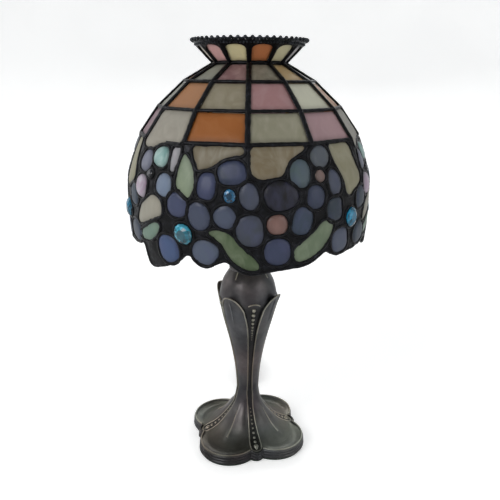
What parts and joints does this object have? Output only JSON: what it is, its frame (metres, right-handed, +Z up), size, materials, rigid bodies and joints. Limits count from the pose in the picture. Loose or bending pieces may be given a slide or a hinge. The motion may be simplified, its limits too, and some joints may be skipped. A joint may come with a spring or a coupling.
{
  "type": "leaded glass table lamp",
  "caption": "Small table lamp with a lift-off leaded mosaic glass shade on a harp and a cast bronze-finish lily-pad base, with cord, switch and plug.",
  "frame": {"origin": "centre of the base's felt underside, on the stem's axis", "axes": "+Z up the stem; a bead string of the base runs towards -Y, +X, +Y and -X, and a lily pad lies on each diagonal; the cord leaves at +Y"},
  "size_m": [0.2042, 0.3354, 0.3676],
  "materials": {
    "aged_bronze": "dark bronze patina, rubbed brighter on the raised lines",
    "dark_solder": "black patina on beaded solder",
    "cream_glass": "streaky opalescent cream sheet",
    "pink_glass": "streaky opalescent dusty pink sheet",
    "orange_glass": "streaky opalescent amber sheet",
    "blue_glass": "slate blue glass nuggets in solder",
    "brass": "satin",
    "nickel": "satin nickel",
    "felt": "short dark green felt",
    "brown_plastic": "semi-gloss brown",
    "phenolic": "moulded dark brown",
    "card": "plain",
    "bulb_glass": "frosted"
  },
  "bodies": {
    "root": {"base_felt": "felt", "foot_casting": "aged_bronze", "column_casting": "aged_bronze", "threaded_pipe": "nickel", "base_washer": "nickel", "base_lock_nut": "nickel", "cord_bushing": "brown_plastic", "column_top_nut": "brass", "harp_saddle": "brass", "socket_cap": "brass", "socket_shell": "brass", "socket_liner": "card", "socket_body": "phenolic", "socket_screw_shell": "nickel", "centre_contact": "brass", "terminal_screw_hot": "brass", "terminal_screw_neutral": "nickel", "socket_set_screw": "nickel", "lamp_cord": "brown_plastic", "plug_cord": "brown_plastic", "switch_base": "brown_plastic", "switch_cover": "brown_plastic", "rocker_pin": "nickel", "switch_contact_1": "brass", "switch_contact_2": "brass", "rocker_spring": "nickel", "switch_screw_1": "nickel", "switch_screw_2": "nickel", "plug_body": "brown_plastic", "plug_blade_1": "brass", "plug_blade_2": "brass"},
    "harp": {"harp_wire": "brass", "harp_top_stud": "brass"},
    "ferrule_left": {"harp_ferrule_left": "brass"},
    "ferrule_right": {"harp_ferrule_right": "brass"},
    "shade": {"dome_leading": "dark_solder", "crown_leading": "dark_solder", "crown_glass": "pink_glass", "dome_glass_row_1": "cream_glass", "dome_glass_row_2": "pink_glass", "dome_glass_row_3": "orange_glass", "skirt_mosaic": "blue_glass", "skirt_edge_wire": "dark_solder", "gallery_band": "dark_solder", "neck_ring": "dark_solder", "shade_spider": "brass", "heat_cap": "aged_bronze"},
    "finial": {"finial": "aged_bronze"},
    "bulb": {"bulb_glass": "bulb_glass", "bulb_base_shell": "nickel", "bulb_insulator": "phenolic", "bulb_tip_contact": "nickel", "filament_stem": "bulb_glass", "filament": "nickel"},
    "rocker": {"switch_rocker": "brown_plastic"}
  },
  "joints": [
    {"name": "harp_lift", "type": "slide", "parent": "root", "child": "harp", "axis": [0, 0, 1], "range_m": [0, 0.16]},
    {"name": "ferrule_left_slide", "type": "slide", "parent": "harp", "child": "ferrule_left", "axis": [0, 0, 1], "range_m": [0, 0.01]},
    {"name": "ferrule_right_slide", "type": "slide", "parent": "harp", "child": "ferrule_right", "axis": [0, 0, 1], "range_m": [0, 0.01]},
    {"name": "shade_turn", "type": "hinge", "parent": "harp", "child": "shade", "pos_m": [0, 0, 0.3476], "axis": [0, 0, 1], "continuous": true},
    {"name": "finial_turn", "type": "hinge", "parent": "shade", "child": "finial", "pos_m": [0, 0, 0.358], "axis": [0, 0, 1], "continuous": true},
    {"name": "bulb_turn", "type": "hinge", "parent": "root", "child": "bulb", "pos_m": [0, 0, 0.23], "axis": [0, 0, 1], "continuous": true},
    {"name": "rocker_tilt", "type": "hinge", "parent": "root", "child": "rocker", "pos_m": [0.02473, 0.11538, 0.0122], "axis": [0.9778, -0.2096, 0], "range_deg": [0, 16]}
  ]
}
